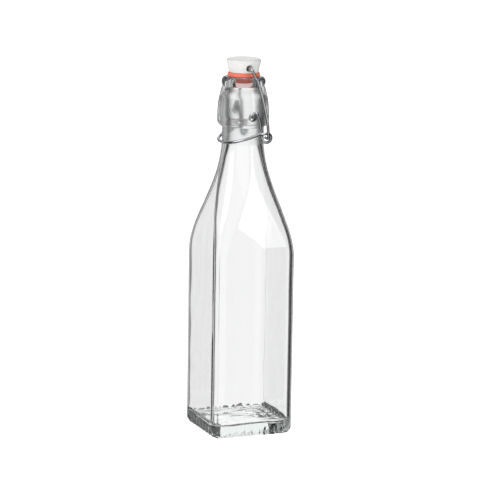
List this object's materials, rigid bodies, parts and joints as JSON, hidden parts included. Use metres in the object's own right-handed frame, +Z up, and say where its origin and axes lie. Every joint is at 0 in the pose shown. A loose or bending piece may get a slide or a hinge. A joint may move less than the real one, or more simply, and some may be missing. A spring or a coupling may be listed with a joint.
{
  "type": "swing-top bottle",
  "caption": "Clear square glass bottle with a long round neck, closed by a white stopper, rubber gasket and hinged wire swing-top.",
  "frame": {"origin": "middle of the base, on the surface the bottle stands on", "axes": "+Z up the bottle; X along the closure's hinge axis through both dimples; the thumb loop is on the -Y side"},
  "size_m": [0.062, 0.062, 0.2698],
  "materials": {
    "glass": "clear moulded flint glass with a faint grey-green tint",
    "stopper": "glossy white moulding",
    "gasket": "matte orange-red rubber",
    "bail_wire": "bright drawn stainless wire",
    "lever_wire": "bright drawn stainless wire"
  },
  "bodies": {
    "bottle": {"bottle": "glass"},
    "lever": {"lever": "lever_wire"},
    "bail": {"bail": "bail_wire"},
    "stopper": {"stopper": "stopper", "gasket": "gasket"}
  },
  "joints": [
    {"name": "lever_swing", "type": "hinge", "parent": "bottle", "child": "lever", "pos_m": [0, 0, 0.23], "axis": [1, 0, 0], "range_deg": [-90, 0], "deforming": ["gasket"]},
    {"name": "bail_swing", "type": "hinge", "parent": "lever", "child": "bail", "pos_m": [0, 0.00965, 0.2151], "axis": [1, 0, 0], "range_deg": [0, 60.3]},
    {"name": "stopper_tilt", "type": "hinge", "parent": "bail", "child": "stopper", "pos_m": [0, 0, 0.2635], "axis": [1, 0, 0], "range_deg": [0, 29.7]}
  ],
  "couplings": [
    {"joint": "bail_swing", "follows": "lever_swing", "ratio": -0.67},
    {"joint": "stopper_tilt", "follows": "lever_swing", "ratio": -0.33}
  ]
}
